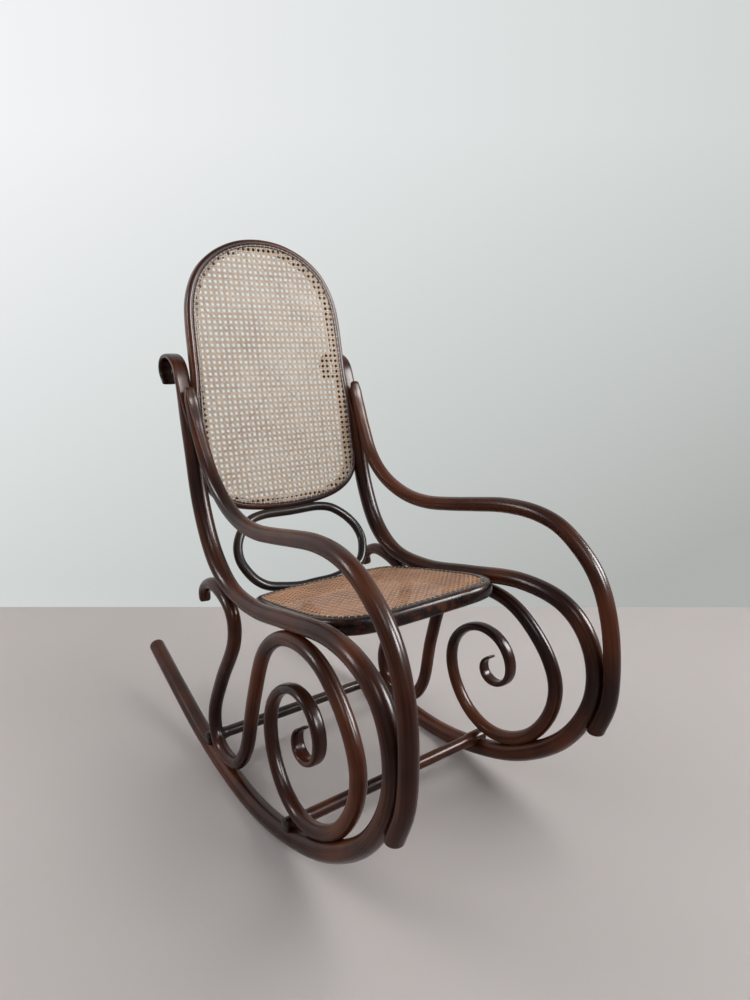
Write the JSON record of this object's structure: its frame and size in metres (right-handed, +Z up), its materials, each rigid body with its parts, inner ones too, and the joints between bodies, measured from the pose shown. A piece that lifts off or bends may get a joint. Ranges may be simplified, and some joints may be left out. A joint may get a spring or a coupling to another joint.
{
  "type": "rocking chair",
  "caption": "Bentwood rocking chair with a tall caned back, a caned seat, one-rod side frames, looped arms and scrolled legs.",
  "frame": {"origin": "on the floor, at the middle of the chair's length and width", "axes": "+Z up, -Y the way the sitter looks, +X towards the sitter's left"},
  "size_m": [0.4918, 1.0274, 1.0972],
  "materials": {
    "wood": "dark red-brown glossy lacquer on steam-bent beech",
    "back_cane": "natural split cane, semi-gloss",
    "seat_cane": "aged brown split cane, semi-gloss",
    "screw": "darkened steel wood screws"
  },
  "bodies": {
    "root": {"arm_left": "wood", "arm_right": "wood", "back_binder": "back_cane", "back_cane": "back_cane", "back_frame": "wood", "back_ring": "wood", "front_stretcher": "wood", "leg_scroll_left": "wood", "leg_scroll_right": "wood", "rear_stretcher": "wood", "screw_arc_rail_left": "screw", "screw_arc_rail_right": "screw", "screw_arm_low_left": "screw", "screw_arm_low_right": "screw", "screw_arm_top_left": "screw", "screw_arm_top_right": "screw", "screw_back_low_left": "screw", "screw_back_low_right": "screw", "screw_back_top_left": "screw", "screw_back_top_right": "screw", "screw_curl_rail_left": "screw", "screw_curl_rail_right": "screw", "screw_front_stretcher_left": "screw", "screw_front_stretcher_right": "screw", "screw_leg_runner_left": "screw", "screw_leg_runner_right": "screw", "screw_loop_runner_left": "screw", "screw_loop_runner_right": "screw", "screw_oval_back": "screw", "screw_oval_seat": "screw", "screw_rear_stretcher_left": "screw", "screw_rear_stretcher_right": "screw", "screw_seat_front_left": "screw", "screw_seat_front_right": "screw", "screw_seat_rear_left": "screw", "screw_seat_rear_right": "screw", "seat_binder": "seat_cane", "seat_cane": "seat_cane", "seat_frame": "wood", "side_frame_left": "wood", "side_frame_right": "wood"}
  },
  "joints": []
}
